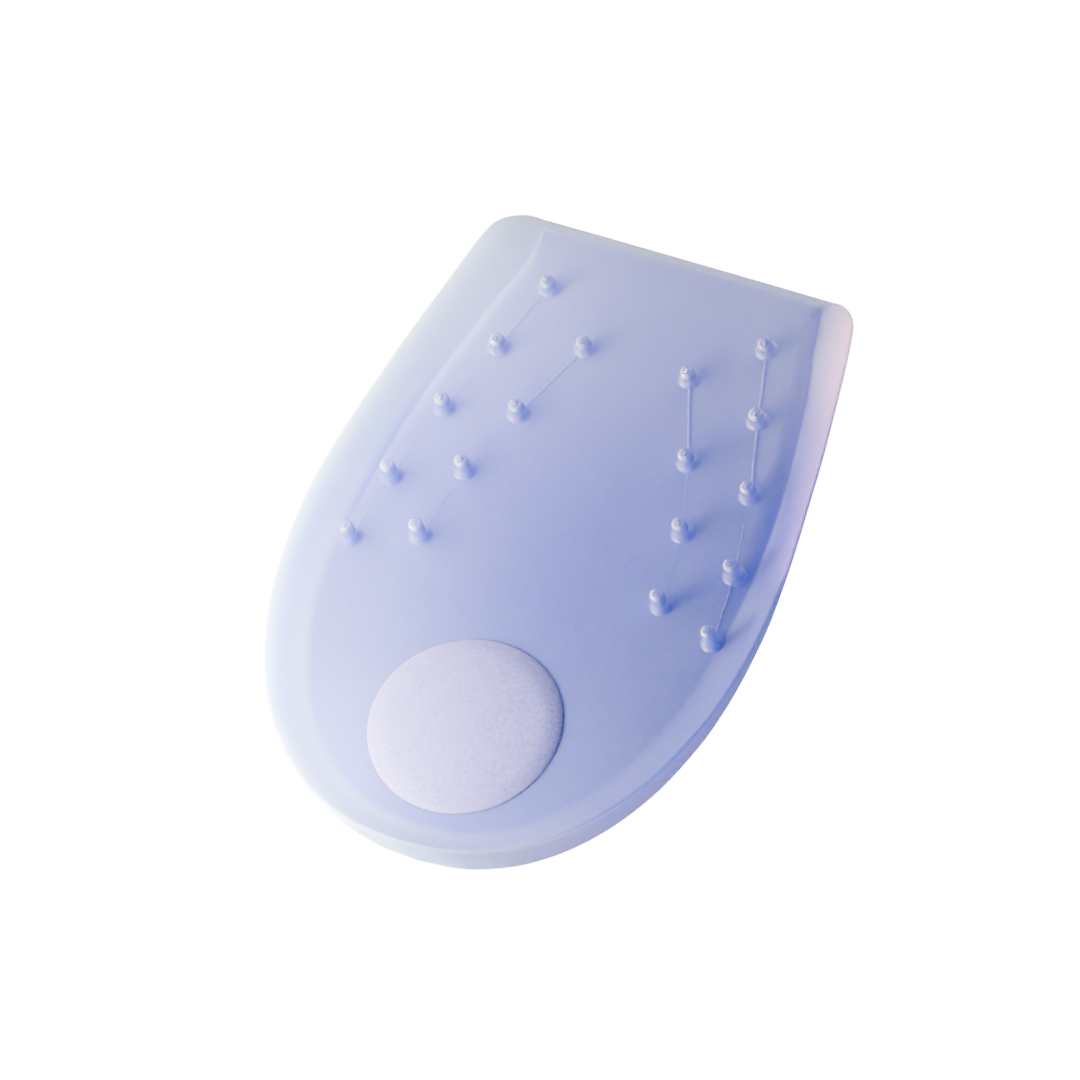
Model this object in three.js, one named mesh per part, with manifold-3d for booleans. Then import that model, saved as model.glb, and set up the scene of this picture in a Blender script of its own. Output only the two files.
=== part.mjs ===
// Heel cup: one moulded body of clear soft silicone, with a softer round pad let into its heel.
// Millimetres, +Z up, +Y towards the open front edge, the underside lies on Z = 0.
import * as THREE from 'three';
import Module from 'manifold-3d';

// Driving sizes, mm
const length = 99.6;           // front edge to the back of the heel
const width = 69.6;            // across the widest part of the rim
const height = 9.8;            // rim above the table at the heel
const frontThickness = 3.2;    // floor from the front edge to the middle
const heelThickness = 5.4;     // floor under the heel
const draft = 2.4;             // how far the foot of the outer wall is set in
const grooveDrop = 0.95;       // the floor's side facet falls this far into the crease
const facetWidth = 2.4;        // width of that facet
const padDiameter = 27.7;      // soft pad
const padRise = 0.95;          // its edge above the floor round it
const padDome = 0.35;          // its middle above its edge
const padDepth = 2.4;          // how deep it is let in
const padAlong = 0.785;        // its centre, as a share of the length from the front
const clearance = 0.3;         // gap between the pad and its pocket
const pegHeadRadius = 1.05;
const pegFootRadius = 1.75;
const pegRise = 2.1;           // peg above the floor at the front
const pegRiseGain = 1.8;       // how much taller the last pegs are
const pegNib = 0.35;           // rough tip left by the mould
const ribWidth = 0.55;
const ribRise = 0.4;

const half = width / 2;

// The plan of one half, from the front centre round to the heel centre.
// Rim and crease are stated as shares of the length and of half the width, and lift as a share
// of the height: rimLift is the rim's top, bend is how hollow the wall between them is.
const stations = [
  { rimX: 0.000, rimY: 0.000, rimLift: 0.235, creaseX: 0.000, creaseY: 0.018, bend: 1.00 },
  { rimX: 0.310, rimY: 0.000, rimLift: 0.235, creaseX: 0.300, creaseY: 0.018, bend: 1.00 },
  { rimX: 0.565, rimY: 0.000, rimLift: 0.225, creaseX: 0.550, creaseY: 0.018, bend: 1.00 },
  { rimX: 0.628, rimY: 0.000, rimLift: 0.222, creaseX: 0.611, creaseY: 0.019, bend: 1.00 },
  { rimX: 0.687, rimY: 0.004, rimLift: 0.315, creaseX: 0.616, creaseY: 0.026, bend: 1.00 },
  { rimX: 0.741, rimY: 0.017, rimLift: 0.430, creaseX: 0.622, creaseY: 0.040, bend: 1.00 },
  { rimX: 0.782, rimY: 0.036, rimLift: 0.530, creaseX: 0.632, creaseY: 0.058, bend: 1.02 },
  { rimX: 0.805, rimY: 0.060, rimLift: 0.575, creaseX: 0.645, creaseY: 0.082, bend: 1.04 },
  { rimX: 0.833, rimY: 0.104, rimLift: 0.583, creaseX: 0.682, creaseY: 0.118, bend: 1.06 },
  { rimX: 0.863, rimY: 0.159, rimLift: 0.605, creaseX: 0.712, creaseY: 0.167, bend: 1.08 },
  { rimX: 0.907, rimY: 0.242, rimLift: 0.650, creaseX: 0.755, creaseY: 0.242, bend: 1.10 },
  { rimX: 0.943, rimY: 0.324, rimLift: 0.695, creaseX: 0.791, creaseY: 0.321, bend: 1.14 },
  { rimX: 0.976, rimY: 0.406, rimLift: 0.736, creaseX: 0.814, creaseY: 0.401, bend: 1.20 },
  { rimX: 0.998, rimY: 0.489, rimLift: 0.774, creaseX: 0.824, creaseY: 0.481, bend: 1.30 },
  { rimX: 1.000, rimY: 0.543, rimLift: 0.795, creaseX: 0.822, creaseY: 0.537, bend: 1.40 },
  { rimX: 0.992, rimY: 0.597, rimLift: 0.815, creaseX: 0.815, creaseY: 0.588, bend: 1.50 },
  { rimX: 0.973, rimY: 0.651, rimLift: 0.830, creaseX: 0.800, creaseY: 0.635, bend: 1.56 },
  { rimX: 0.941, rimY: 0.704, rimLift: 0.847, creaseX: 0.774, creaseY: 0.682, bend: 1.60 },
  { rimX: 0.867, rimY: 0.781, rimLift: 0.878, creaseX: 0.713, creaseY: 0.749, bend: 1.60 },
  { rimX: 0.764, rimY: 0.849, rimLift: 0.910, creaseX: 0.628, creaseY: 0.809, bend: 1.60 },
  { rimX: 0.641, rimY: 0.904, rimLift: 0.940, creaseX: 0.527, creaseY: 0.857, bend: 1.60 },
  { rimX: 0.511, rimY: 0.944, rimLift: 0.963, creaseX: 0.420, creaseY: 0.892, bend: 1.60 },
  { rimX: 0.382, rimY: 0.971, rimLift: 0.980, creaseX: 0.314, creaseY: 0.916, bend: 1.60 },
  { rimX: 0.202, rimY: 0.993, rimLift: 0.994, creaseX: 0.166, creaseY: 0.935, bend: 1.60 },
  { rimX: 0.000, rimY: 1.000, rimLift: 1.000, creaseX: 0.000, creaseY: 0.941, bend: 1.60 },
];

// Pegs of one half, as shares of half the width and of the length, in two rows.
const pegRows = {
  outer: [
    { across: 0.475, along: 0.103 },
    { across: 0.566, along: 0.210 },
    { across: 0.668, along: 0.322 },
    { across: 0.748, along: 0.446 },
    { across: 0.789, along: 0.556 },
  ],
  inner: [
    { across: 0.228, along: 0.177 },
    { across: 0.370, along: 0.300 },
    { across: 0.475, along: 0.406 },
    { across: 0.526, along: 0.523 },
  ],
};

const smooth = THREE.MathUtils.smoothstep;
const mix = THREE.MathUtils.lerp;

// Distance from the front edge of a point, with Y pointing to the front.
const toY = (along) => length * (0.5 - along);

// Height of the hollow's floor at a distance from the front, before the crease facet.
function floorHeight(along) {
  return mix(frontThickness, heelThickness, smooth(along, 0.38, 0.78));
}

// How much of the crease facet is left: sharp at the front, gone at the heel.
function creaseStrength(along) {
  return 1 - smooth(along, 0.3, 0.62);
}

const rimLine = new THREE.CatmullRomCurve3(
  stations.map((s) => new THREE.Vector3(s.rimX * half, s.rimY * length, s.rimLift * height)));
const creaseLine = new THREE.CatmullRomCurve3(
  stations.map((s) => new THREE.Vector3(s.creaseX * half, s.creaseY * length, s.bend)));

const stepsPerHalf = 48;

// One station of the half outline: the rim, the crease and the shape of the wall between.
function station(share) {
  const rim = rimLine.getPoint(share);
  const crease = creaseLine.getPoint(share);
  const bend = crease.z;
  const along = crease.y / length;
  const isFront = 1 - smooth(share, 0.09, 0.125);
  crease.z = floorHeight(along) - grooveDrop * creaseStrength(along) * (1 - isFront);
  const ahead = rimLine.getPoint(Math.min(1, share + 0.002));
  const behind = rimLine.getPoint(Math.max(0, share - 0.002));
  const inward = new THREE.Vector2(-(ahead.y - behind.y), ahead.x - behind.x).normalize();
  return { rim, crease, bend, inward, isFront };
}

// The section from the middle of the floor, over the rim, down the outer wall and under to the middle.
// part is the stretch of the section, at the share of that stretch.
const section = [
  { part: 'floor', at: 0 },
  { part: 'floor', at: 0.3 },
  { part: 'floor', at: 0.55 },
  { part: 'floor', at: 0.78 },
  { part: 'floor', at: 1 },
  { part: 'crease', at: 1 },
  { part: 'wall', at: 0.3 },
  { part: 'wall', at: 0.58 },
  { part: 'wall', at: 0.8 },
  { part: 'rim', at: 0.93 },
  { part: 'lip', at: 1 },
  { part: 'outer', at: 0.35 },
  { part: 'outer', at: 0.75 },
  { part: 'foot', at: 1 },
  { part: 'under', at: 0.6 },
  { part: 'under', at: 0 },
];

const lipDrop = 0.55;          // rounding of the rim's outer edge
const middleAlong = 0.5;       // the floor's middle, where the section starts

function sectionPoint(row, s) {
  const middle = new THREE.Vector2(0, middleAlong * length);
  const { rim, crease, bend, inward } = s;
  const lipHeight = Math.min(lipDrop, rim.z * 0.35);
  const setIn = draft * Math.min(1, rim.z / (height * 0.7));
  const flat = new THREE.Vector2();
  if (row.part === 'floor') {
    const towardMiddle = middle.clone().sub(new THREE.Vector2(crease.x, crease.y)).normalize();
    const edge = new THREE.Vector2(crease.x, crease.y).addScaledVector(towardMiddle, facetWidth);
    flat.lerpVectors(middle, edge, row.at);
    return new THREE.Vector3(flat.x, flat.y, floorHeight(flat.y / length));
  }
  if (row.part === 'crease') {
    return crease.clone();
  }
  if (row.part === 'wall' || row.part === 'rim') {
    flat.lerpVectors(new THREE.Vector2(crease.x, crease.y), new THREE.Vector2(rim.x, rim.y), row.at);
    const lift = row.part === 'rim' ? 1 : row.at ** bend;
    return new THREE.Vector3(flat.x, flat.y, mix(crease.z, rim.z, lift));
  }
  flat.set(rim.x, rim.y);
  if (row.part === 'lip') {
    return new THREE.Vector3(flat.x, flat.y, rim.z - lipHeight);
  }
  if (row.part === 'outer') {
    flat.addScaledVector(inward, setIn * row.at ** 1.3);
    return new THREE.Vector3(flat.x, flat.y, (rim.z - lipHeight) * (1 - row.at));
  }
  flat.addScaledVector(inward, setIn);
  if (row.part === 'under') {
    flat.lerpVectors(middle, flat.clone(), row.at);
  }
  return new THREE.Vector3(flat.x, flat.y, 0);
}

// A lathe gives the closed skin; each of its points is then moved to its place on the cup.
function bodySkin() {
  const profile = section.map((row, j) => {
    const onAxis = j === 0 || j === section.length - 1;
    return new THREE.Vector2(onAxis ? 0 : 1 + 0.1 * j, section.length - j);
  });
  const around = stepsPerHalf * 2;
  const skin = new THREE.LatheGeometry(profile, around);
  const place = skin.getAttribute('position');
  for (let i = 0; i <= around; i += 1) {
    const k = i % around;
    const onRight = k <= stepsPerHalf;
    const s = station((onRight ? k : around - k) / stepsPerHalf);
    section.forEach((row, j) => {
      const p = sectionPoint(row, s);
      place.setXYZ(i * section.length + j, onRight ? p.x : -p.x, toY(p.y / length), p.z);
    });
  }
  return skin;
}

// Straight booleans
const wasm = await Module();
wasm.setup();

function toManifold(geometry) {
  const g = geometry.index ? geometry.toNonIndexed() : geometry.clone();
  const p = g.getAttribute('position');
  const keys = new Map();
  const points = [];
  const tris = [];
  for (let t = 0; t < p.count; t += 3) {
    const corner = [];
    for (let c = 0; c < 3; c += 1) {
      const v = new THREE.Vector3().fromBufferAttribute(p, t + c);
      const key = [v.x, v.y, v.z].map((n) => Math.round(n * 1e4)).join(',');
      if (!keys.has(key)) {
        keys.set(key, points.length / 3);
        points.push(v.x, v.y, v.z);
      }
      corner.push(keys.get(key));
    }
    if (corner[0] !== corner[1] && corner[1] !== corner[2] && corner[0] !== corner[2]) {
      tris.push(...corner);
    }
  }
  const solid = new wasm.Manifold(new wasm.Mesh({
    numProp: 3,
    vertProperties: new Float32Array(points),
    triVerts: new Uint32Array(tris),
  }));
  return solid;
}

function toGeometry(solid) {
  const mesh = solid.getMesh();
  const g = new THREE.BufferGeometry();
  const points = new Float32Array((mesh.vertProperties.length / mesh.numProp) * 3);
  for (let i = 0; i < points.length / 3; i += 1) {
    for (let c = 0; c < 3; c += 1) points[i * 3 + c] = mesh.vertProperties[i * mesh.numProp + c];
  }
  g.setAttribute('position', new THREE.BufferAttribute(points, 3));
  g.setIndex(new THREE.BufferAttribute(new Uint32Array(mesh.triVerts), 1));
  return g;
}

// A turned shape standing on +Z at a place, outward faces whichever way the profile is listed.
function turned(pairs, steps, x, y) {
  const g = new THREE.LatheGeometry(pairs.map(([r, z]) => new THREE.Vector2(r, z)), steps);
  g.rotateX(Math.PI / 2);
  g.translate(x, y, 0);
  return g;
}

// Peg: a tapered skirt, a rounded head and the small tip left by the mould.
function peg(across, along) {
  const x = across * half;
  const foot = floorHeight(along) - 0.8;
  const rise = pegRise + pegRiseGain * smooth(along, 0.1, 0.56);
  const top = floorHeight(along) + rise;
  const neck = mix(foot + 0.8, top, 0.45);
  return turned([
    [0, foot],
    [pegFootRadius, foot],
    [pegFootRadius * 0.92, foot + 1.1],
    [pegHeadRadius * 1.1, neck],
    [pegHeadRadius, top - 0.35],
    [pegHeadRadius * 0.72, top - 0.04],
    [pegNib * 0.5, top],
    [pegNib * 0.35, top + pegNib],
    [0, top + pegNib],
  ], 14, x, toY(along));
}

// Rib: a thin raised line on the floor from one peg to the next.
function rib(from, to) {
  const a = new THREE.Vector3(from.across * half, toY(from.along), floorHeight(from.along));
  const b = new THREE.Vector3(to.across * half, toY(to.along), floorHeight(to.along));
  const run = b.clone().sub(a);
  const g = new THREE.BoxGeometry(ribWidth, run.length(), ribRise * 3);
  const turn = new THREE.Quaternion().setFromUnitVectors(new THREE.Vector3(0, 1, 0), run.clone().normalize());
  g.applyQuaternion(turn);
  const middle = a.clone().add(b).multiplyScalar(0.5);
  g.translate(middle.x, middle.y, middle.z - ribRise * 0.5);
  return g;
}

function mirrored(solid) {
  return solid.mirror([1, 0, 0]);
}

let body = toManifold(bodySkin());
for (const row of Object.values(pegRows)) {
  row.forEach((p, i) => {
    const stud = toManifold(peg(p.across, p.along));
    body = body.add(stud).add(mirrored(stud));
    if (i > 0) {
      const line = toManifold(rib(row[i - 1], p));
      body = body.add(line).add(mirrored(line));
    }
  });
}

// The pad's pocket and the pad in it
const padY = toY(padAlong);
const padFloor = floorHeight(padAlong);
const padRadius = padDiameter / 2;
const pocketRadius = padRadius + clearance;
const pocketFloor = padFloor - padDepth;
body = body.subtract(toManifold(turned([
  [0, pocketFloor],
  [pocketRadius, pocketFloor],
  [pocketRadius, height * 2],
  [0, height * 2],
], 64, 0, padY)));

const padBottom = pocketFloor + clearance;
const padEdge = padFloor + padRise;
const padShape = turned([
  [0, padBottom],
  [padRadius - 0.3, padBottom],
  [padRadius, padBottom + 0.3],
  [padRadius, padEdge - 0.6],
  [padRadius - 0.2, padEdge - 0.25],
  [padRadius - 0.65, padEdge],
  [padRadius * 0.75, padEdge + padDome * 0.45],
  [padRadius * 0.4, padEdge + padDome * 0.85],
  [0, padEdge + padDome],
], 64, 0, padY);

function named(name, solid, look) {
  const g = toGeometry(solid);
  const mesh = new THREE.Mesh(g, new THREE.MeshStandardMaterial(look));
  mesh.name = name;
  return mesh;
}

const heelCup = new THREE.Group();
heelCup.name = 'heel_cup';
heelCup.add(named('cup_body', body, { color: 0xb9c6ee, roughness: 0.35, metalness: 0 }));
heelCup.add(named('soft_pad', toManifold(padShape), { color: 0xe4dcf5, roughness: 0.6, metalness: 0 }));

export default heelCup;
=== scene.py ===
import math
import bmesh
import bpy
from mathutils import Matrix, Vector, noise
from mathutils.kdtree import KDTree


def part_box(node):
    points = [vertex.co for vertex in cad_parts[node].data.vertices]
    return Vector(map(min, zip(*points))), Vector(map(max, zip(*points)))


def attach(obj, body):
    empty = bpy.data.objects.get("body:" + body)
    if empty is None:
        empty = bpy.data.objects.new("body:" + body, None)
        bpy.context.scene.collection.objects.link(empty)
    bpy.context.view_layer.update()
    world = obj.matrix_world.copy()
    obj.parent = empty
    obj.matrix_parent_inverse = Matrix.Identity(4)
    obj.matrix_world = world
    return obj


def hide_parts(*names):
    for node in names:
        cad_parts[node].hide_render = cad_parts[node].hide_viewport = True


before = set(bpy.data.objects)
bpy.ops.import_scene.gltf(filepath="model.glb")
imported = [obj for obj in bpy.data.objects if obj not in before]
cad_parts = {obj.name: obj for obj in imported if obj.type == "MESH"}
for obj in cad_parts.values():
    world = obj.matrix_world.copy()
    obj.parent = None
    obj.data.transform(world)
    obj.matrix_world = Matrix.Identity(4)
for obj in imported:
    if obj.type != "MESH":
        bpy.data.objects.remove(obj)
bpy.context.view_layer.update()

mm = 0.001
mergeGap = 0.001 * mm
cupLow, cupHigh = [Vector(corner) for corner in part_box("cup_body")]
padLow, padHigh = [Vector(corner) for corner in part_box("soft_pad")]
cupLength = 2 * abs(cupLow.y)  # heel to front edge
cupHalf = -cupLow.x            # half of the width across the rim
cupHeight = cupHigh.z          # rim at the heel


def smoothStep(value, low, high):
    share = min(1.0, max(0.0, (value - low) / (high - low)))
    return share * share * (3 - 2 * share)


def mix(low, high, share):
    return low + (high - low) * share


# along is the share of the length from the front edge
def toY(along):
    return cupLength * (0.5 - along)


def toAlong(y):
    return 0.5 - y / cupLength


# Camera: the photo's angle, from the right of the heel, long lens

cameraSet = {
    "azimuth": 41.1,
    "elevation": 59.6,
    "roll": -20.7,
    "distance": 4.128,
    "lens": 1000.0,
    "sensor": 36,
    "nearest": 0.1,
    "farthest": 20,
    "lookRight": -1.6 * mm,     # where the camera looks, across and up its own view from the origin
    "lookUp": 4.2 * mm,
}


def viewAxes(values):
    azimuth, elevation, roll = [math.radians(values[key]) for key in ("azimuth", "elevation", "roll")]
    back = Vector((math.sin(azimuth) * math.cos(elevation),
                   -math.cos(azimuth) * math.cos(elevation), math.sin(elevation)))
    level = Vector((0, 0, 1)).cross(back).normalized()
    upright = back.cross(level)
    right = math.cos(roll) * level + math.sin(roll) * upright
    up = -math.sin(roll) * level + math.cos(roll) * upright
    return right, up, back


def makeCamera(values):
    right, up, back = viewAxes(values)
    data = bpy.data.cameras.new("photoCamera")
    data.sensor_width = values["sensor"]
    data.lens = values["lens"]
    data.clip_start = values["nearest"]
    data.clip_end = values["farthest"]
    camera = bpy.data.objects.new("photoCamera", data)
    bpy.context.collection.objects.link(camera)
    turn = Matrix((right, up, back)).transposed().to_4x4()
    place = back * values["distance"] + right * values["lookRight"] + up * values["lookUp"]
    camera.matrix_world = Matrix.Translation(place) @ turn
    bpy.context.scene.camera = camera
    print("camera set")


makeCamera(cameraSet)


# Cup: the form of its floor, rim and creases. A pair of shares is where a change starts and where it ends.

cupForm = {
    "around": 320,              # stations round the cup
    "middleAlong": 0.5,
    "frontThickness": 3.2 * mm,
    "heelThickness": 5.4 * mm,
    "floorRise": (0.38, 0.78),  # along the cup
    "grooveDrop": 0.95 * mm,    # the floor's side facet falls this far into the crease
    "grooveFade": (0.3, 0.62),  # along the cup
    "grooveStart": (0.085, 0.140),  # of the way round, where the front edge turns into the side
    "facetBend": 1.8,           # the facet starts gently from the floor and is steepest at the crease
    "facetWidth": 3.3 * mm,
    "leftFacet": 1.5 * mm,      # the left facet is a narrow bright line
    "leftGroove": 0.46,         # and falls this share as far
    "leftFacetStart": (0.08, 0.12),  # of the way round
    "leftCreaseIn": 0.9 * mm,   # the left crease runs this much further in near the front
    "leftCreaseStart": (0.02, 0.07),  # along the cup
    "leftCreaseFade": (0.16, 0.42),
    "lipDrop": 0.55 * mm,       # rounding of the rim
    "lipShare": 0.35,           # and at most this share of the rim's height
    "lipStart": 0.93,           # where the wall turns into the rounding
    "draft": 2.4 * mm,          # how far the foot of the outer wall is set in
    "draftHeight": 0.7,         # less where the rim is lower than this share of the height
    "draftBend": 1.3,
    "footRound": 0.4 * mm,
    "slopeStep": 0.002,         # how far ahead and behind the rim's direction is read
}

# One half of the plan, from the front centre round to the heel centre, as shares of the cup's half width,
# length and height. bend is how hollow the wall between crease and rim is.
halfPlan = [
    {"rimX": 0.000, "rimY": 0.000, "lift": 0.235, "creaseX": 0.000, "creaseY": 0.018, "bend": 1.00},
    {"rimX": 0.310, "rimY": 0.000, "lift": 0.235, "creaseX": 0.300, "creaseY": 0.018, "bend": 1.00},
    {"rimX": 0.565, "rimY": 0.000, "lift": 0.225, "creaseX": 0.550, "creaseY": 0.018, "bend": 1.00},
    {"rimX": 0.628, "rimY": 0.000, "lift": 0.222, "creaseX": 0.602, "creaseY": 0.019, "bend": 1.00},
    {"rimX": 0.687, "rimY": 0.004, "lift": 0.315, "creaseX": 0.608, "creaseY": 0.026, "bend": 1.00},
    {"rimX": 0.741, "rimY": 0.017, "lift": 0.430, "creaseX": 0.618, "creaseY": 0.040, "bend": 1.00},
    {"rimX": 0.782, "rimY": 0.036, "lift": 0.530, "creaseX": 0.632, "creaseY": 0.058, "bend": 1.02},
    {"rimX": 0.805, "rimY": 0.060, "lift": 0.575, "creaseX": 0.645, "creaseY": 0.082, "bend": 1.04},
    {"rimX": 0.833, "rimY": 0.104, "lift": 0.583, "creaseX": 0.676, "creaseY": 0.118, "bend": 1.06},
    {"rimX": 0.863, "rimY": 0.159, "lift": 0.605, "creaseX": 0.712, "creaseY": 0.167, "bend": 1.08},
    {"rimX": 0.907, "rimY": 0.242, "lift": 0.650, "creaseX": 0.755, "creaseY": 0.242, "bend": 1.10},
    {"rimX": 0.943, "rimY": 0.324, "lift": 0.695, "creaseX": 0.791, "creaseY": 0.321, "bend": 1.14},
    {"rimX": 0.976, "rimY": 0.406, "lift": 0.736, "creaseX": 0.814, "creaseY": 0.401, "bend": 1.20},
    {"rimX": 0.998, "rimY": 0.489, "lift": 0.774, "creaseX": 0.824, "creaseY": 0.481, "bend": 1.30},
    {"rimX": 1.000, "rimY": 0.543, "lift": 0.795, "creaseX": 0.822, "creaseY": 0.537, "bend": 1.40},
    {"rimX": 0.992, "rimY": 0.597, "lift": 0.815, "creaseX": 0.815, "creaseY": 0.588, "bend": 1.50},
    {"rimX": 0.973, "rimY": 0.651, "lift": 0.830, "creaseX": 0.800, "creaseY": 0.635, "bend": 1.56},
    {"rimX": 0.941, "rimY": 0.704, "lift": 0.847, "creaseX": 0.774, "creaseY": 0.682, "bend": 1.60},
    {"rimX": 0.867, "rimY": 0.781, "lift": 0.878, "creaseX": 0.713, "creaseY": 0.749, "bend": 1.60},
    {"rimX": 0.764, "rimY": 0.849, "lift": 0.910, "creaseX": 0.628, "creaseY": 0.809, "bend": 1.60},
    {"rimX": 0.641, "rimY": 0.904, "lift": 0.940, "creaseX": 0.527, "creaseY": 0.857, "bend": 1.60},
    {"rimX": 0.511, "rimY": 0.944, "lift": 0.963, "creaseX": 0.420, "creaseY": 0.892, "bend": 1.60},
    {"rimX": 0.382, "rimY": 0.971, "lift": 0.980, "creaseX": 0.314, "creaseY": 0.916, "bend": 1.60},
    {"rimX": 0.202, "rimY": 0.993, "lift": 0.994, "creaseX": 0.166, "creaseY": 0.935, "bend": 1.60},
    {"rimX": 0.000, "rimY": 1.000, "lift": 1.000, "creaseX": 0.000, "creaseY": 0.941, "bend": 1.60},
]


def planAt(share):
    # a smooth curve through the plan's rows, read at a share of its run
    last = len(halfPlan) - 1
    place = share * last
    first = min(last - 1, int(place))
    t = place - first
    found = {}
    for key in halfPlan[0]:
        b = halfPlan[first][key]
        c = halfPlan[first + 1][key]
        a = halfPlan[first - 1][key] if first > 0 else 2 * b - c
        d = halfPlan[first + 2][key] if first + 2 <= last else 2 * c - b
        found[key] = 0.5 * (2 * b + (c - a) * t + (2 * a - 5 * b + 4 * c - d) * t * t
                            + (3 * b - 3 * c + d - a) * t ** 3)
    return found


def floorHeight(along):
    return mix(cupForm["frontThickness"], cupForm["heelThickness"], smoothStep(along, *cupForm["floorRise"]))


def stationAt(index):
    # index 0 is the front centre, then round by the right side and the heel
    around = cupForm["around"]
    onRight = index <= around // 2
    share = (index if onRight else around - index) / (around // 2)
    side = 1 if onRight else -1
    plan = planAt(share)
    ahead = planAt(min(1.0, share + cupForm["slopeStep"]))
    behind = planAt(max(0.0, share - cupForm["slopeStep"]))
    run = Vector(((ahead["rimX"] - behind["rimX"]) * cupHalf, (behind["rimY"] - ahead["rimY"]) * cupLength))
    along = plan["creaseY"]
    crease = Vector((side * plan["creaseX"] * cupHalf, toY(along), floorHeight(along)))
    facet = cupForm["facetWidth"]
    groove = cupForm["grooveDrop"] * (1 - smoothStep(along, *cupForm["grooveFade"]))
    groove *= smoothStep(share, *cupForm["grooveStart"])
    if not onRight:
        crease.x += (cupForm["leftCreaseIn"] * smoothStep(along, *cupForm["leftCreaseStart"])
                     * (1 - smoothStep(along, *cupForm["leftCreaseFade"])))
        facet = mix(facet, cupForm["leftFacet"], smoothStep(share, *cupForm["leftFacetStart"]))
        groove *= cupForm["leftGroove"]
    return {
        "rim": Vector((side * plan["rimX"] * cupHalf, toY(plan["rimY"]), plan["lift"] * cupHeight)),
        "crease": crease,
        "groove": groove,
        "facet": facet,
        "bend": plan["bend"],
        "inward": Vector((run.y * side, -run.x)).normalized(),
    }


# The section runs from the middle of the floor, over the rim, down the outer wall and under the foot.
# Each part has its rings at these shares of its own run.
section = {
    "floor": (0.06, 0.14, 0.24, 0.36, 0.48, 0.6, 0.71, 0.8, 0.88, 0.94, 0.98),
    "facet": (-0.12, -0.03, 0.06, 0.18, 0.34, 0.5, 0.66, 0.82, 0.92),
    "wall": (0.0, 0.035, 0.09, 0.17, 0.27, 0.38, 0.49, 0.6, 0.7, 0.79, 0.86, 0.9),
    "rim": (0.0, 0.3, 0.6, 0.85, 1.0),
    "outer": (0.03, 0.08, 0.18, 0.32, 0.48, 0.64, 0.8, 0.91),
    "foot": (0.0, 0.35, 0.7, 1.0),
}


def sectionPoint(part, share, station):
    rim = station["rim"]
    rimFlat = rim.to_2d()
    creaseFlat = station["crease"].to_2d()
    middle = Vector((0, toY(cupForm["middleAlong"])))
    toMiddle = (middle - creaseFlat).normalized()
    edge = creaseFlat + toMiddle * station["facet"]
    if part == "floor":
        flat = middle.lerp(edge, share)
        return flat.to_3d() + Vector((0, 0, floorHeight(toAlong(flat.y))))
    if part == "facet":
        flat = edge - toMiddle * (share * station["facet"])
        fall = station["groove"] * max(0.0, share) ** cupForm["facetBend"]
        return flat.to_3d() + Vector((0, 0, floorHeight(toAlong(flat.y)) - fall))
    if part == "wall":
        flat = creaseFlat.lerp(rimFlat, share)
        climb = min(1.0, share / cupForm["lipStart"]) ** station["bend"]
        return flat.to_3d() + Vector((0, 0, mix(station["crease"].z - station["groove"], rim.z, climb)))
    lip = min(cupForm["lipDrop"], rim.z * cupForm["lipShare"])
    angle = share * math.pi / 2
    if part == "rim":
        flat = creaseFlat.lerp(rimFlat, mix(cupForm["lipStart"], 1.0, math.sin(angle)))
        return flat.to_3d() + Vector((0, 0, rim.z - lip * (1 - math.cos(angle))))
    setIn = cupForm["draft"] * min(1.0, rim.z / (cupHeight * cupForm["draftHeight"]))
    if part == "outer":
        flat = rimFlat + station["inward"] * (setIn * share ** cupForm["draftBend"])
        return flat.to_3d() + Vector((0, 0, (rim.z - lip) * (1 - share)))
    rounding = cupForm["footRound"]
    flat = rimFlat + station["inward"] * (setIn + rounding * (1 - math.cos(angle)))
    return flat.to_3d() + Vector((0, 0, rounding * (1 - math.sin(angle))))


def drawnOut(bm, edges):
    # draws the edges out once, and gives the new ring's vertices and its open edges
    drawn = bmesh.ops.extrude_edge_only(bm, edges=edges)["geom"]
    ring = [item for item in drawn if isinstance(item, bmesh.types.BMVert)]
    return ring, [item for item in drawn if isinstance(item, bmesh.types.BMEdge) and item.is_boundary]


def makeCupSkin():
    # rings are drawn out one after another from a small disc in the middle of the floor
    bm = bmesh.new()
    stationLayer = bm.verts.layers.int.new("station")
    stations = [stationAt(index) for index in range(cupForm["around"])]
    rings = [(part, share) for part, shares in section.items() for share in shares]
    made = bmesh.ops.create_circle(bm, cap_ends=True, cap_tris=True, radius=1, segments=cupForm["around"])
    step = 2 * math.pi / cupForm["around"]
    for vert in made["verts"]:
        if vert.co.length < 0.5:
            # the middle of the disc
            vert.co = Vector((0, toY(cupForm["middleAlong"]), floorHeight(cupForm["middleAlong"])))
            continue
        turned = math.atan2(vert.co.x, vert.co.y) % (2 * math.pi)
        vert[stationLayer] = round(turned / step) % cupForm["around"]
        vert.co = sectionPoint(*rings[0], stations[vert[stationLayer]])
    edges = [edge for edge in bm.edges if edge.is_boundary]
    for part, share in rings[1:]:
        ring, edges = drawnOut(bm, edges)
        for vert in ring:
            vert.co = sectionPoint(part, share, stations[vert[stationLayer]])
    bmesh.ops.edgeloop_fill(bm, edges=edges)
    bmesh.ops.recalc_face_normals(bm, faces=bm.faces[:])
    return bm


# Pegs and the thin ribs that join them

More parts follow.
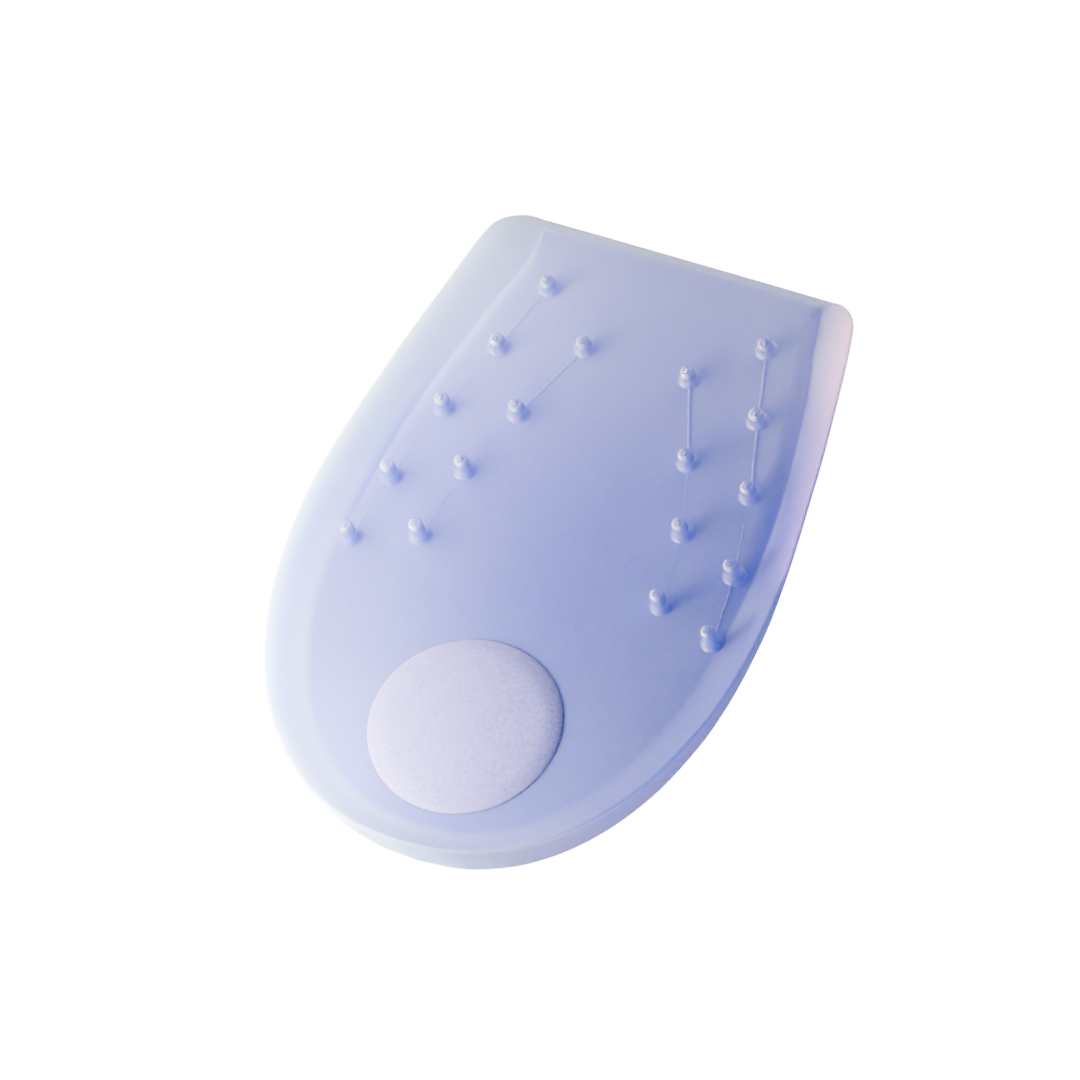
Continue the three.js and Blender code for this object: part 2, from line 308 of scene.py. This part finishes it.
pegForm = {
    "steps": 28,
    "headRadius": 1.05 * mm,
    "footRadius": 1.8 * mm,
    "frontRise": 2.1 * mm,
    "riseGain": 1.8 * mm,       # the last pegs stand this much taller
    "riseRun": (0.1, 0.56),     # along the cup
    "sink": 0.5 * mm,           # the foot goes this far into the floor
    "nib": 0.45 * mm,           # torn tip left by the mould on the front pegs
    "nibLoss": 0.85,            # share of it that the last pegs lack
    "roughness": 0.2 * mm,      # unevenness of the heads
    "roughShare": 1.15,         # at the front, and 1 less than this at the back
    "roughGrain": 1300,         # how fine it is
    "roughUpright": 1.4,        # stronger upwards than sideways
    "roughStep": (7.3, 3.1, 0),  # so that no two heads are alike
    "roughFrom": 0.25 * mm,     # it starts this far under the top
    "roughFull": 0.05 * mm,     # and is full this far over it
}

# The peg's outline from below: flare is the share of the way out from the head's radius to the foot's,
# above is over the floor, width is a share of the head's radius, below is under the top.
pegFoot = [
    {"flare": 1.0, "above": -0.03 * mm},
    {"flare": 0.832, "above": 0.02 * mm},
    {"flare": 0.62, "above": 0.10 * mm},
    {"flare": 0.40, "above": 0.25 * mm},
    {"flare": 0.22, "above": 0.48 * mm},
    {"flare": 0.09, "above": 0.85 * mm},
]
pegHead = [
    {"width": 1.0, "below": 0.72 * mm},
    {"width": 0.99, "below": 0.50 * mm},
    {"width": 0.95, "below": 0.31 * mm},
    {"width": 0.87, "below": 0.15 * mm},
    {"width": 0.76, "below": 0.04 * mm},
    {"width": 0.64, "below": 0.0},
    {"width": 0.53, "below": 0.06 * mm},
    {"width": 0.42, "below": 0.09 * mm},
]
pegTip = [
    {"width": 0.32, "nib": 0.2},
    {"width": 0.2, "nib": 0.85},
    {"width": 0.0, "nib": 1.0},
]

# where the pegs of a row stand: share of the half width, share of the length
pegRows = {
    "outer": [(0.475, 0.103), (0.566, 0.210), (0.668, 0.322), (0.748, 0.446), (0.789, 0.556)],
    "inner": [(0.228, 0.177), (0.370, 0.300), (0.475, 0.406), (0.526, 0.523)],
}

ribForm = {
    "radius": 0.14 * mm,
    "lift": 0.05 * mm,          # the clear ones near the front
    "faintLift": -0.08 * mm,    # the others barely show
    "sides": 10,
    "rings": 9,
    "lead": 2.2 * mm,           # how far the first rib of the outer rows runs on in front of its peg
    "leadTip": 0.45,            # width of that rib at its ends
    "leadTaper": 6,             # and how fast it gets its full width
}


def newObject(name, bm, family=0):
    # family marks whose faces these are, so that the seams can be found after the shapes are joined
    familyLayer = bm.faces.layers.int.get("family") or bm.faces.layers.int.new("family")
    for face in bm.faces:
        face[familyLayer] = family
    mesh = bpy.data.meshes.new(name)
    bm.to_mesh(mesh)
    bm.free()
    made = bpy.data.objects.new(name, mesh)
    bpy.context.collection.objects.link(made)
    return made


def spinOutline(bm, outline, steps):
    # turns an outline of radius and height round the upright axis, and gives the vertices it starts from
    verts = [bm.verts.new((radius, 0, height)) for radius, height in outline]
    edges = [bm.edges.new(pair) for pair in zip(verts, verts[1:])]
    bmesh.ops.spin(bm, geom=verts + edges, cent=(0, 0, 0), axis=(0, 0, 1), angle=2 * math.pi,
                   steps=steps, use_merge=True)
    return verts


def pegRise(along):
    return pegForm["frontRise"] + pegForm["riseGain"] * smoothStep(along, *pegForm["riseRun"])


def addPeg(bm, x, along, seed):
    base = floorHeight(along)
    top = base + pegRise(along)
    back = smoothStep(along, *pegForm["riseRun"])
    head = pegForm["headRadius"]
    foot = pegForm["footRadius"]
    nib = pegForm["nib"] * (1 - pegForm["nibLoss"] * back)
    outline = [(0.0, base - pegForm["sink"]), (foot, base - pegForm["sink"])]
    outline += [(mix(head, foot, row["flare"]), base + row["above"]) for row in pegFoot]
    outline += [(head * row["width"], top - row["below"]) for row in pegHead]
    outline += [(head * row["width"], top + nib * row["nib"]) for row in pegTip]
    growing = set(spinOutline(bm, outline, pegForm["steps"]))
    whole = set(growing)
    while growing:
        growing = {edge.other_vert(vert) for vert in growing for edge in vert.link_edges} - whole
        whole |= growing
    apart = Vector((9, 0, 0))  # so that the three ways of the unevenness differ
    for vert in whole:
        high = smoothStep(vert.co.z, top - pegForm["roughFrom"], top + pegForm["roughFull"])
        rough = pegForm["roughness"] * high * (pegForm["roughShare"] - back)
        point = vert.co * pegForm["roughGrain"] + seed * Vector(pegForm["roughStep"])
        upright = noise.noise(point + apart.yxz) * pegForm["roughUpright"]
        vert.co += Vector((noise.noise(point), noise.noise(point + apart), upright)) * rough
    bmesh.ops.translate(bm, verts=list(whole), vec=(x, toY(along), 0))


def addRib(bm, start, end, leadFront, clear):
    a = Vector((start[0], toY(start[1])))
    b = Vector((end[0], toY(end[1])))
    run = (b - a).normalized()
    inset = pegForm["headRadius"] / 2
    a += run * (-ribForm["lead"] if leadFront else inset)
    b -= run * inset
    across = Vector((-run.y, run.x))
    turn = Matrix((across.to_3d(), Vector((0, 0, 1)), run.to_3d())).transposed().to_4x4()
    ring = bmesh.ops.create_circle(bm, cap_ends=True, segments=ribForm["sides"],
                                   radius=ribForm["radius"])["verts"]
    edges = ring[0].link_faces[0].edges[:]
    bmesh.ops.transform(bm, verts=ring, matrix=turn)
    centre, width = Vector((0, 0, 0)), 1.0
    for index in range(ribForm["rings"]):
        share = index / (ribForm["rings"] - 1)
        if index > 0:
            ring, edges = drawnOut(bm, edges)
        target = a.lerp(b, share).to_3d()
        target.z = floorHeight(toAlong(target.y)) + ribForm["lift" if clear else "faintLift"]
        taper = ribForm["leadTip"] + ribForm["leadTaper"] * min(share, 1 - share)
        newWidth = min(1.0, taper) if leadFront else 1.0
        for vert in ring:
            vert.co = target + (vert.co - centre) * (newWidth / width)
        centre, width = target, newWidth
    bmesh.ops.edgeloop_fill(bm, edges=edges)


def joinShapes(target, tool, operation):
    cut = target.modifiers.new(operation, "BOOLEAN")
    cut.operation = operation
    cut.solver = "EXACT"
    cut.object = tool
    bpy.context.view_layer.update()
    evaluated = target.evaluated_get(bpy.context.evaluated_depsgraph_get())
    result = bpy.data.meshes.new_from_object(evaluated)
    target.modifiers.remove(cut)
    old = target.data
    target.data = result
    bpy.data.meshes.remove(old)
    bpy.data.objects.remove(tool)


def markSeams(piece):
    bm = bmesh.new()
    bm.from_mesh(piece.data)
    familyLayer = bm.faces.layers.int["family"]
    for edge in bm.edges:
        edge.smooth = len({face[familyLayer] for face in edge.link_faces}) == 1
    bm.to_mesh(piece.data)
    bm.free()


def makePegsAndRibs():
    pegs = bmesh.new()
    ribs = bmesh.new()
    seed = 0
    for rowName, row in pegRows.items():
        for side in (-1, 1):
            places = [(side * across * cupHalf, along) for across, along in row]
            for x, along in places:
                seed += 1
                addPeg(pegs, x, along, seed)
            for number, (start, end) in enumerate(zip(places, places[1:])):
                first = number == 0
                clear = first or (rowName == "outer" and side > 0 and number == 1)
                addRib(ribs, start, end, rowName == "outer" and first, clear)
    for bm in (pegs, ribs):
        bmesh.ops.remove_doubles(bm, verts=bm.verts[:], dist=mergeGap)
        bmesh.ops.recalc_face_normals(bm, faces=bm.faces[:])
    return pegs, ribs


def makePocket():
    radius = padRadius + padForm["pocketGap"]
    pocket = bmesh.new()
    bmesh.ops.create_cone(pocket, cap_ends=True, segments=padForm["steps"], radius1=radius, radius2=radius,
                          depth=padForm["pocketCut"])
    bottom = padLow.z - padForm["pocketUnder"]
    bmesh.ops.translate(pocket, verts=pocket.verts[:],
                        vec=(0, padMiddle.y, bottom + padForm["pocketCut"] / 2))
    return pocket


def makeCup():
    cup = newObject("heelCupShell", makeCupSkin())
    pegs, ribs = makePegsAndRibs()
    joinShapes(cup, newObject("ribTool", ribs, 1), "UNION")
    joinShapes(cup, newObject("pegTool", pegs, 2), "UNION")
    joinShapes(cup, newObject("pocketTool", makePocket(), 3), "DIFFERENCE")
    markSeams(cup)
    print("cup shaped, with its pegs, ribs and pocket")
    return cup


# Soft pad: a paler low dome whose rounded rim laps over the pocket's edge

padForm = {
    "steps": 160,
    "setIn": 0.5 * mm,          # less in radius than the box of its node
    "edgeRise": 0.95 * mm,      # height of the dome's edge over the floor
    "bottomRound": 0.25 * mm,
    "pocketGap": 0.1 * mm,
    "pocketUnder": 0.15 * mm,   # gap under the pad
    "pocketCut": 20 * mm,       # height of the shape that cuts the pocket
    "followFloor": (0.55, 0.97),  # shares of the radius between which the top takes up the floor's slope
}

padMiddle = (padLow + padHigh) / 2
padRadius = (padHigh.x - padLow.x) / 2 - padForm["setIn"]

# the rim from below: out is outside the pad's own radius, above is over the floor
padRim = [
    {"out": 0.02 * mm, "above": -0.03 * mm},
    {"out": 0.26 * mm, "above": -0.03 * mm},
    {"out": 0.34 * mm, "above": -0.01 * mm},
    {"out": 0.31 * mm, "above": 0.09 * mm},
    {"out": 0.22 * mm, "above": 0.20 * mm},
    {"out": 0.08 * mm, "above": 0.32 * mm},
    {"out": -0.12 * mm, "above": 0.43 * mm},
    {"out": -0.38 * mm, "above": 0.55 * mm},
    {"out": -0.76 * mm, "above": 0.68 * mm},
    {"out": -1.20 * mm, "above": 0.82 * mm},
]
domeRings = (0.86, 0.79, 0.7, 0.58, 0.44, 0.3, 0.15, 0.0)  # shares of the radius


def makePad():
    bm = bmesh.new()
    floorLevel = floorHeight(toAlong(padMiddle.y))
    domeEdge = floorLevel + padForm["edgeRise"]
    rounding = padForm["bottomRound"]
    outline = [(0.0, padLow.z), (padRadius / 2, padLow.z), (padRadius - rounding, padLow.z),
               (padRadius, padLow.z + rounding), (padRadius, floorLevel - rounding)]
    outline += [(padRadius + row["out"], floorLevel + row["above"]) for row in padRim]
    outline += [(padRadius * share, mix(padHigh.z, domeEdge, share * share)) for share in domeRings]
    spinOutline(bm, outline, padForm["steps"])
    bmesh.ops.remove_doubles(bm, verts=bm.verts[:], dist=mergeGap)
    for vert in bm.verts:
        # the rim of the pad follows the floor, which falls away towards the front
        if vert.co.z > padLow.z + 2 * rounding:
            follow = [share * padRadius for share in padForm["followFloor"]]
            slope = floorHeight(toAlong(vert.co.y + padMiddle.y)) - floorLevel
            vert.co.z += slope * smoothStep(vert.co.to_2d().length, *follow)
    bmesh.ops.translate(bm, verts=bm.verts[:], vec=(0, padMiddle.y, 0))
    bmesh.ops.recalc_face_normals(bm, faces=bm.faces[:])
    print("pad shaped")
    return newObject("heelPad", bm)


# Silicone: what the two materials share

mouldForm = {
    "Ripple": {"scale": 120.0, "detail": 2},
    "Grain": {"scale": 1500.0, "detail": 3},
    "Cloud": {"scale": 38.0, "detail": 3},
    "Speck": {"scale": 2200.0, "detail": 2},
}
grainShare = 0.2  # weight of the grain beside the ripple


def addSocket(group, name, value=None):
    # a socket with a value goes in, one without comes out
    way = "OUTPUT" if value is None else "INPUT"
    socket = group.interface.new_socket(name, in_out=way, socket_type="NodeSocketFloat")
    if value is not None:
        socket.default_value = value


def addMath(nodes, operation, second, clamp=False):
    made = nodes.new("ShaderNodeMath")
    made.operation = operation
    made.inputs[1].default_value = second
    made.use_clamp = clamp
    return made


def addAttribute(nodes, name):
    made = nodes.new("ShaderNodeAttribute")
    made.attribute_name = name
    return made.outputs["Fac"]


def makeMouldSkin():
    # faint unevenness of a moulded silicone face: a broad ripple and a fine grain,
    # and clouds and specks for its colour
    group = bpy.data.node_groups.new("mouldSkin", "ShaderNodeTree")
    for name, values in mouldForm.items():
        addSocket(group, name + " Scale", values["scale"])
    for name in ("Height", "Cloud", "Speck"):
        addSocket(group, name)
    nodes, links = group.nodes, group.links
    inputs = nodes.new("NodeGroupInput")
    outputs = nodes.new("NodeGroupOutput")
    place = nodes.new("ShaderNodeTexCoord")
    noises = {}
    for name, values in mouldForm.items():
        made = nodes.new("ShaderNodeTexNoise")
        made.inputs["Detail"].default_value = values["detail"]
        links.new(inputs.outputs[name + " Scale"], made.inputs["Scale"])
        links.new(place.outputs["Object"], made.inputs["Vector"])
        noises[name] = made.outputs["Fac"]
    height = addMath(nodes, "MULTIPLY_ADD", grainShare)
    centred = addMath(nodes, "SUBTRACT", 0.5)
    links.new(noises["Grain"], height.inputs[0])
    links.new(noises["Ripple"], height.inputs[2])
    links.new(noises["Speck"], centred.inputs[0])
    links.new(height.outputs[0], outputs.inputs["Height"])
    links.new(noises["Cloud"], outputs.inputs["Cloud"])
    links.new(centred.outputs[0], outputs.inputs["Speck"])
    return group


mouldSkin = makeMouldSkin()

cupSilicone = {
    "thin": (0.73, 0.80, 0.97, 1),
    "thick": (0.145, 0.160, 0.70, 1),
    "scatter": (1.0, 1.0, 1.3),
    "scatterScale": 2.4 * mm,
    "seamScale": 0.8 * mm,      # the scatter is short where the pad and the cup meet
    "refraction": 1.41,
    "roughness": 0.38,
    "headRoughness": 0.07,      # the heads of the pegs are glossier than the rest
    "shine": 0.5,
    "headShine": 1.0,
    "cloud": 0.12,
    "speck": 0.08,
    "bump": 0.08,
    "bumpHeight": 0.2 * mm,
}

padSilicone = {
    "thin": (0.58, 0.50, 0.95, 1),
    "thick": (0.30, 0.28, 0.84, 1),
    "scatter": (1.1, 1.0, 1.15),
    "scatterScale": 2.4 * mm,
    "seamScale": 0.8 * mm,
    "refraction": 1.41,
    "roughness": 0.58,
    "cloud": 0.5,
    "speck": 1.8,
    "bump": 0.4,
    "bumpHeight": 0.2 * mm,
}


def rangeInto(material, source, low, high, target):
    # a share of 0 to 1 sets the target between low and high
    made = material.node_tree.nodes.new("ShaderNodeMapRange")
    made.inputs["To Min"].default_value = low
    made.inputs["To Max"].default_value = high
    material.node_tree.links.new(source, made.inputs["Value"])
    material.node_tree.links.new(made.outputs["Result"], target)


def makeSilicone(name, values):
    material = bpy.data.materials.new(name)
    material.use_nodes = True
    nodes, links = material.node_tree.nodes, material.node_tree.links
    shader = nodes["Principled BSDF"]
    shader.inputs["Subsurface Weight"].default_value = 1.0
    shader.inputs["Subsurface Radius"].default_value = values["scatter"]
    shader.inputs["IOR"].default_value = values["refraction"]
    skin = nodes.new("ShaderNodeGroup")
    skin.node_tree = mouldSkin
    centred = addMath(nodes, "SUBTRACT", 0.5)
    cloudShift = addMath(nodes, "MULTIPLY_ADD", values["cloud"], clamp=True)
    speckShift = addMath(nodes, "MULTIPLY_ADD", values["speck"], clamp=True)
    tint = nodes.new("ShaderNodeMix")
    tint.data_type = "RGBA"
    tint.inputs["A"].default_value = values["thin"]
    tint.inputs["B"].default_value = values["thick"]
    bump = nodes.new("ShaderNodeBump")
    bump.inputs["Strength"].default_value = values["bump"]
    bump.inputs["Distance"].default_value = values["bumpHeight"]
    links.new(skin.outputs["Cloud"], centred.inputs[0])
    links.new(centred.outputs[0], cloudShift.inputs[0])
    links.new(addAttribute(nodes, "depthAndPaintedLight"), cloudShift.inputs[2])
    links.new(skin.outputs["Speck"], speckShift.inputs[0])
    links.new(cloudShift.outputs[0], speckShift.inputs[2])
    links.new(speckShift.outputs[0], tint.inputs["Factor"])
    links.new(tint.outputs["Result"], shader.inputs["Base Color"])
    links.new(skin.outputs["Height"], bump.inputs["Height"])
    links.new(bump.outputs["Normal"], shader.inputs["Normal"])
    seam = addAttribute(nodes, "padSeam")
    rangeInto(material, seam, values["scatterScale"], values["seamScale"], shader.inputs["Subsurface Scale"])
    if "headRoughness" in values:
        gloss = addAttribute(nodes, "pegHead")
        rangeInto(material, gloss, values["roughness"], values["headRoughness"], shader.inputs["Roughness"])
        rangeInto(material, gloss, values["shine"], values["headShine"], shader.inputs["Specular IOR Level"])
    else:
        shader.inputs["Roughness"].default_value = values["roughness"]
    return material


def finish(piece, material, node):
    for polygon in piece.data.polygons:
        polygon.use_smooth = True
    piece.data.materials.clear()
    piece.data.materials.append(material)
    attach(piece, "root")
    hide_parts(node)
    print(piece.name, len(piece.data.polygons), "faces")


# Depth of colour: 0 is the thin colour and 1 the thick one. A range is where a change starts and where
# it ends. A wall share is 0 at the crease, 1 at the rim and below 0 on the floor.

cupShade = {
    "deep": (0.44, 0.77),       # at the front, and further back
    "deepRange": (0.04, 0.5),   # along the cup
    "frontRange": (0.15, 0.6),  # along the cup
    "leftRange": (-0.9, 0.3),   # across it, in half widths
    # the right ranges below mark painted shade on the right walls, which face away from the lamps
    "rightRange": (0.3, 0.8),
    "rightFrontRange": (0.08, 0.22),  # along the cup
    "rightBackRange": (0.34, 0.54),
    "rightBackLoss": 0.8,
    "centre": 0.05,             # across, in half widths
    "centreRange": (0.1, 0.6),
    "heelRange": (0.85, 0.98),  # along the cup
    "wallRange": (-0.05, 0.25),  # wall shares
    "frontPale": 0.55,
    # painted shade: less front paleness on the right side
    "frontRightLoss": 0.75,
    # painted light: the left side is tinted paler, as if lit and glowing from the left
    "paintedLightPale": 0.8,
    "heelPale": 0.35,
    "mostPale": 0.9,
    "centreDeep": 0.09,
    # painted shade: how much deeper the right walls are tinted
    "paintedShadeDeep": 0.42,
    # a painted highlight: the pale line along the left crease
    "lineStart": (-0.22, -0.06),  # the pale line along the left crease, as wall shares
    "lineEnd": (0.05, 0.22),
    "lineBackRange": (0.18, 0.42),  # along the cup
    "paintedHighlightPale": 0.72,
    "seamRange": (0.2 * mm, 0.9 * mm),  # out from the pad
}

pegShade = {
    "onFloor": -0.1,            # pegs stand where the wall share is below this
    "stem": 0.72,
    "top": 0.74,
    # painted highlight: the head's rounded edge is painted pale on the side towards the lamps, where the way
    # and range below say
    "paintedGlintTint": 0.0,
    "paintedGlintWay": (-0.73, -0.68, 0),  # a clear peg gathers the light in the rounded edge on its lit side
    "paintedGlintRange": (-0.05, 0.5),
    "edgeRange": (0.40, 0.62),  # shares of the head's radius
    "headRange": (-0.75 * mm, -0.35 * mm),  # from the top
    "stemRange": (0.1 * mm, 1.2 * mm),      # from the floor
    "glossRange": (0.9 * mm, 1.7 * mm),
}

padShade = {
    "middle": 0.45,
    # painted light: the rim is tinted paler than the middle
    "rim": 0.2,
    "rimRange": (0.97, 1.0),    # shares of the pad's radius
    "seamRange": (0.90, 0.99),
}


def depthAndPaintedLightAt(point, wallShare):
    # the colour pales up the walls towards the front, where the silicone thins out, and at the heel; it
    # deepens further back and down the middle of the floor. Painted light makes the left side paler, painted
    # shade deepens the right walls, and a painted highlight lays a pale line along the left crease
    along = toAlong(point.y)
    across = point.x / cupHalf
    front = 1 - smoothStep(along, *cupShade["frontRange"])
    # mask of the painted light on the left side
    paintedLightLeft = 1 - smoothStep(across, *cupShade["leftRange"])
    # mask of the painted shade on the right walls
    right = smoothStep(across, *cupShade["rightRange"]) * smoothStep(along, *cupShade["rightFrontRange"])
    right *= 1 - cupShade["rightBackLoss"] * smoothStep(along, *cupShade["rightBackRange"])
    centre = 1 - smoothStep(abs(across - cupShade["centre"]), *cupShade["centreRange"])
    heel = smoothStep(along, *cupShade["heelRange"])
    upWall = smoothStep(wallShare, *cupShade["wallRange"])
    pale = cupShade["frontPale"] * front * (1 - cupShade["frontRightLoss"] * right)
    # the left share is painted light; the front share follows the thin silicone
    pale += cupShade["paintedLightPale"] * paintedLightLeft + cupShade["heelPale"] * heel
    pale = upWall * min(cupShade["mostPale"], pale)
    deep = mix(*cupShade["deep"], smoothStep(along, *cupShade["deepRange"]))
    deep *= 1 + cupShade["centreDeep"] * centre
    # painted highlight: a pale line along the left crease, near the front
    paintedHighlightLine = smoothStep(wallShare, *cupShade["lineStart"]) * (1 - smoothStep(wallShare, *cupShade["lineEnd"]))
    paintedHighlightLine *= paintedLightLeft * (1 - smoothStep(along, *cupShade["lineBackRange"]))
    # painted shade: the right walls are tinted deeper
    deep *= 1 + cupShade["paintedShadeDeep"] * right * upWall
    return deep * (1 - pale) * (1 - cupShade["paintedHighlightPale"] * paintedHighlightLine)


def pegDepthAndPaintedGlintAt(point, spot, along, reach, above, around):
    # spot and along say where the nearest peg stands, reach how far off its middle is, above how high
    # the point is over the floor, and around the floor's own depth
    rise = pegRise(along)
    head = pegForm["headRadius"]
    edgeRange = [share * head for share in pegShade["edgeRange"]]
    # painted highlight: the head's edge is paler on the side that faces the lamps
    glintSide = (point - spot).normalized().dot(Vector(pegShade["paintedGlintWay"]))
    paintedGlint = smoothStep(reach, *edgeRange) * smoothStep(glintSide, *pegShade["paintedGlintRange"])
    headRange = [rise + gap for gap in pegShade["headRange"]]
    upper = mix(pegShade["top"], pegShade["paintedGlintTint"], paintedGlint)
    depth = mix(pegShade["stem"], upper, smoothStep(above, *headRange))
    return mix(around, depth, smoothStep(above, *pegShade["stemRange"]))


def addShare(piece, name):
    return piece.data.attributes.new(name, "FLOAT", "POINT").data


def treeOf(points):
    tree = KDTree(len(points))
    for index, point in enumerate(points):
        tree.insert((point[0], point[1], 0), index)
    tree.balance()
    return tree


def markCup(cup):
    # shares kept on the mesh for the material: how deep the silicone's colour is, with painted light,
    # painted shade and painted highlights in it, where the glossy peg heads are, and where the pad is near
    stations = [stationAt(index) for index in range(cupForm["around"])]
    rims = treeOf([station["rim"] for station in stations])
    creases = treeOf([station["crease"] for station in stations])
    alongs = [along for row in pegRows.values() for across, along in row for side in (-1, 1)]
    pegs = treeOf([(side * across * cupHalf, toY(along)) for row in pegRows.values()
                   for across, along in row for side in (-1, 1)])
    middle = Vector((0, toY(cupForm["middleAlong"])))
    seamRange = [padRadius + gap for gap in cupShade["seamRange"]]
    depthAndPaintedLight = addShare(cup, "depthAndPaintedLight")
    pegHeads = addShare(cup, "pegHead")
    seams = addShare(cup, "padSeam")
    for vert, thick, gloss, seam in zip(cup.data.vertices, depthAndPaintedLight, pegHeads, seams):
        flat = Vector((vert.co.x, vert.co.y, 0))
        inset = rims.find(flat)[2]
        crease, index, reach = creases.find(flat)
        outside = (flat - crease).to_2d().dot(crease.to_2d() - middle) > 0
        wallShare = (reach if outside else -reach) / (reach + inset)
        thick.value = depthAndPaintedLightAt(vert.co, wallShare)
        if wallShare < pegShade["onFloor"]:
            above = vert.co.z - floorHeight(toAlong(vert.co.y))
            spot, index, reach = pegs.find(flat)
            thick.value = pegDepthAndPaintedGlintAt(flat, spot, alongs[index], reach, above, thick.value)
            gloss.value = smoothStep(above, *pegShade["glossRange"])
        seam.value = 1 - smoothStep((vert.co - padMiddle).to_2d().length, *seamRange)


def markPad(pad):
    # the pad's rim is paler than its middle all round: painted light that lifts the shade along its edge
    depthAndPaintedLight = addShare(pad, "depthAndPaintedLight")
    seams = addShare(pad, "padSeam")
    for vert, thick, seam in zip(pad.data.vertices, depthAndPaintedLight, seams):
        reach = (vert.co - padMiddle).to_2d().length / padRadius
        thick.value = mix(padShade["middle"], padShade["rim"], smoothStep(reach, *padShade["rimRange"]))
        seam.value = smoothStep(reach, *padShade["seamRange"])


cup = makeCup()
pad = makePad()
markCup(cup)
markPad(pad)
finish(cup, makeSilicone("cupSilicone", cupSilicone), "cup_body")
finish(pad, makeSilicone("padSilicone", padSilicone), "soft_pad")


# Floor and soft studio light

studio = {
    "floorSize": 3.0,
    "floorDrop": 0.02 * mm,            # under the foot of the cup
    "floorColour": (0.02, 0.02, 0.02, 1),
    "floorRoughness": 0.9,
    "floorGlow": 18.0,                 # bright enough to read as plain white
    "worldColour": (0.50, 0.78, 1.0, 1),
    "worldStrength": 0.36,
}

# each light: where it stands, what it is aimed at, its two sizes, power, spread and colour.
# One that is glossOnly shows in reflections alone.
lamps = {
    "key": {"place": (-0.62, -0.58, 0.27), "aim": (0, 0, 0), "size": (0.18, 0.18), "power": 4.6,
            "spread": 180, "colour": (1.0, 0.52, 0.80)},
    "leftWash": {"place": (-0.046, -0.024, 0.032), "aim": (-0.027, -0.013, 0.004), "size": (0.08, 0.012),
                 "power": 0.049, "spread": 115, "colour": (1.0, 0.97, 0.98)},
    "frontWash": {"place": (-0.040, 0.026, 0.028), "aim": (-0.027, 0.022, 0.004), "size": (0.05, 0.012),
                  "power": 0.0135, "spread": 130, "colour": (0.90, 0.82, 1.0)},
    "heelWash": {"place": (-0.020, -0.056, 0.034), "aim": (-0.008, -0.040, 0.006), "size": (0.03, 0.012),
                 "power": 0.031, "spread": 120, "colour": (0.94, 0.94, 1.0)},
    "cornerBlush": {"place": (0.0292, 0.0298, 0.0135), "aim": (0.0302, 0.0300, 0.0035),
                    "size": (0.050, 0.003), "power": 0.0023, "spread": 50, "colour": (1.0, 0.34, 0.52)},
    "glint": {"place": (-0.30, -0.28, 0.16), "aim": (0, 0, 0), "size": (0.30, 0.16), "power": 16.0,
              "spread": 180, "colour": (1.0, 0.85, 0.90), "glossOnly": True},
    "frontGlow": {"place": (0.01, 0.10, 0.035), "aim": (0.0, 0.048, 0.002), "size": (0.07, 0.02),
                  "power": 0.019, "spread": 120, "colour": (1.0, 0.78, 0.95)},
    "edgeGlow": {"place": (-0.085, -0.05, -0.035), "aim": (-0.03, -0.01, 0.003), "size": (0.1, 0.05),
                 "power": 2.0, "spread": 180, "colour": (0.80, 1.0, 1.0)},
    "stripGlow": {"place": (0.09, -0.10, -0.03), "aim": (0.01, -0.03, 0.003), "size": (0.08, 0.05),
                  "power": 0.17, "spread": 180, "colour": (1.0, 0.80, 0.84)},
}


def makeGround():
    bm = bmesh.new()
    bmesh.ops.create_grid(bm, x_segments=1, y_segments=1, size=studio["floorSize"] / 2)
    bmesh.ops.translate(bm, verts=bm.verts[:], vec=(0, 0, -studio["floorDrop"]))
    ground = newObject("studioFloor", bm)
    paper = bpy.data.materials.new("studioPaper")
    paper.use_nodes = True
    shader = paper.node_tree.nodes["Principled BSDF"]
    shader.inputs["Base Color"].default_value = studio["floorColour"]
    shader.inputs["Roughness"].default_value = studio["floorRoughness"]
    shader.inputs["Specular IOR Level"].default_value = 0.0
    shader.inputs["Emission Color"].default_value = (1, 1, 1, 1)
    shader.inputs["Emission Strength"].default_value = studio["floorGlow"]
    ground.data.materials.append(paper)
    # seen by the camera alone, so that it neither lights nor darkens the cup
    ground.visible_diffuse = False
    ground.visible_glossy = False
    ground.visible_transmission = False
    ground.visible_shadow = False


def makeLight():
    world = bpy.data.worlds.new("softRoom")
    world.use_nodes = True
    world.node_tree.nodes["Background"].inputs["Color"].default_value = studio["worldColour"]
    world.node_tree.nodes["Background"].inputs["Strength"].default_value = studio["worldStrength"]
    bpy.context.scene.world = world
    for name, values in lamps.items():
        data = bpy.data.lights.new(name, "AREA")
        data.shape = "RECTANGLE"
        data.size, data.size_y = values["size"]
        data.energy = values["power"]
        data.color = values["colour"]
        data.spread = math.radians(values["spread"])
        lamp = bpy.data.objects.new(name, data)
        bpy.context.collection.objects.link(lamp)
        way = Vector(values["place"]) - Vector(values["aim"])
        lamp.location = values["place"]
        lamp.rotation_euler = way.to_track_quat("Z", "Y").to_euler()
        lamp.visible_camera = False
        lamp.visible_diffuse = not values.get("glossOnly", False)


makeGround()
makeLight()
print("studio set")
